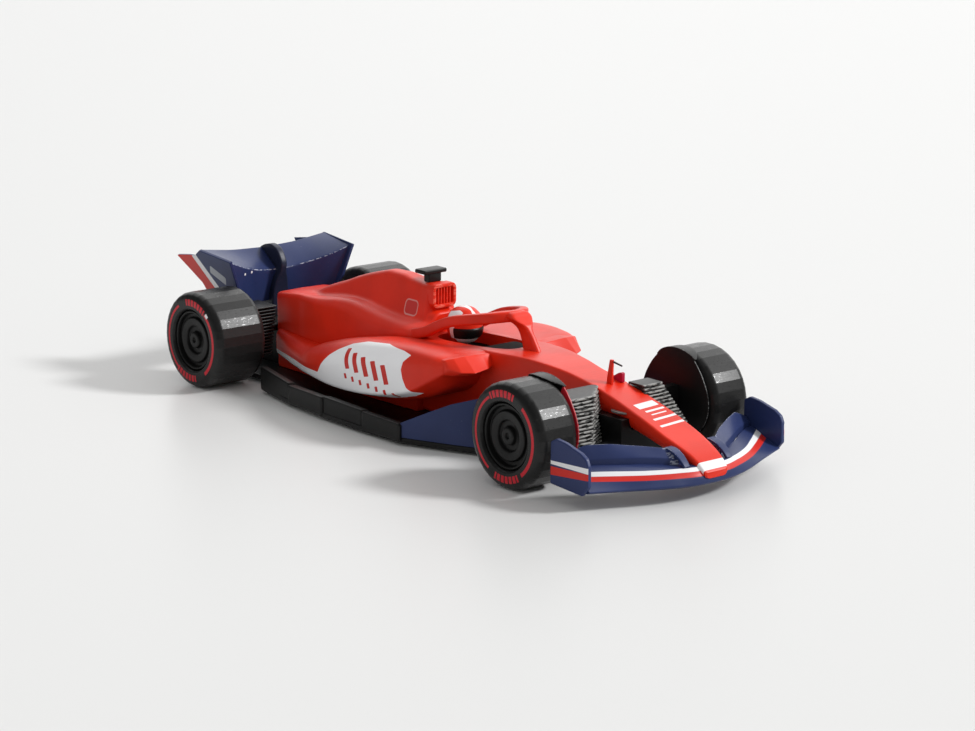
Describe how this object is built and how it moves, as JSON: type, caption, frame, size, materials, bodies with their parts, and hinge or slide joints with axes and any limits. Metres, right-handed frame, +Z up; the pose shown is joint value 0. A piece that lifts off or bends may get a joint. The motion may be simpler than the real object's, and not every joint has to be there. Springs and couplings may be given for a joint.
{
  "type": "printed scale model of an open wheel racing car",
  "caption": "Desk model of an open wheel racing car with winged nose, side bodies, cockpit hoop, tall rear wing and free-turning faceted wheels.",
  "frame": {"origin": "on the ground, under the middle of the overall length and width", "axes": "+X towards the nose, +Y to the left of the car, +Z up"},
  "size_m": [0.2658, 0.0996, 0.0522],
  "materials": {
    "black_print": "satin printed plastic, black",
    "navy_print": "satin printed plastic, navy blue",
    "red_print": "satin printed plastic, red",
    "tyre_print": "satin printed plastic, black, faceted"
  },
  "bodies": {
    "car": {"air_intake": "red_print", "cockpit_insert": "black_print", "diffuser": "black_print", "driver_helmet": "red_print", "engine_cover": "red_print", "floor": "black_print", "floor_edge_left": "black_print", "floor_edge_right": "black_print", "floor_fence_left": "navy_print", "floor_fence_right": "navy_print", "front_axle_block": "black_print", "front_brake_duct_left": "black_print", "front_brake_duct_right": "black_print", "front_endplate_left": "navy_print", "front_endplate_right": "navy_print", "front_fairing_left": "black_print", "front_fairing_right": "black_print", "front_wing_flap_left": "navy_print", "front_wing_flap_right": "navy_print", "front_wing_plane": "navy_print", "halo": "red_print", "helmet_visor": "black_print", "nose_and_tub": "red_print", "nose_fin_left": "red_print", "nose_fin_right": "red_print", "nose_probe": "red_print", "nose_sensor": "red_print", "rear_axle_block": "black_print", "rear_brake_duct_left": "black_print", "rear_brake_duct_right": "black_print", "rear_endplate_left": "navy_print", "rear_endplate_right": "navy_print", "rear_wing_plane": "navy_print", "rear_wing_pylon": "black_print", "roof_camera": "black_print", "sidepod_left": "red_print", "sidepod_right": "red_print"},
    "front_right_wheel": {"tyre_front_right": "tyre_print", "wheel_front_right": "black_print"},
    "front_left_wheel": {"tyre_front_left": "tyre_print", "wheel_front_left": "black_print"},
    "rear_right_wheel": {"tyre_rear_right": "tyre_print", "wheel_rear_right": "black_print"},
    "rear_left_wheel": {"tyre_rear_left": "tyre_print", "wheel_rear_left": "black_print"}
  },
  "joints": [
    {"name": "front_right_spin", "type": "hinge", "parent": "car", "child": "front_right_wheel", "pos_m": [0.0825, -0.0393, 0.018], "axis": [0, 1, 0], "continuous": true},
    {"name": "front_left_spin", "type": "hinge", "parent": "car", "child": "front_left_wheel", "pos_m": [0.0825, 0.0393, 0.018], "axis": [0, 1, 0], "continuous": true},
    {"name": "rear_right_spin", "type": "hinge", "parent": "car", "child": "rear_right_wheel", "pos_m": [-0.093, -0.0386, 0.018], "axis": [0, 1, 0], "continuous": true},
    {"name": "rear_left_spin", "type": "hinge", "parent": "car", "child": "rear_left_wheel", "pos_m": [-0.093, 0.0386, 0.018], "axis": [0, 1, 0], "continuous": true}
  ]
}
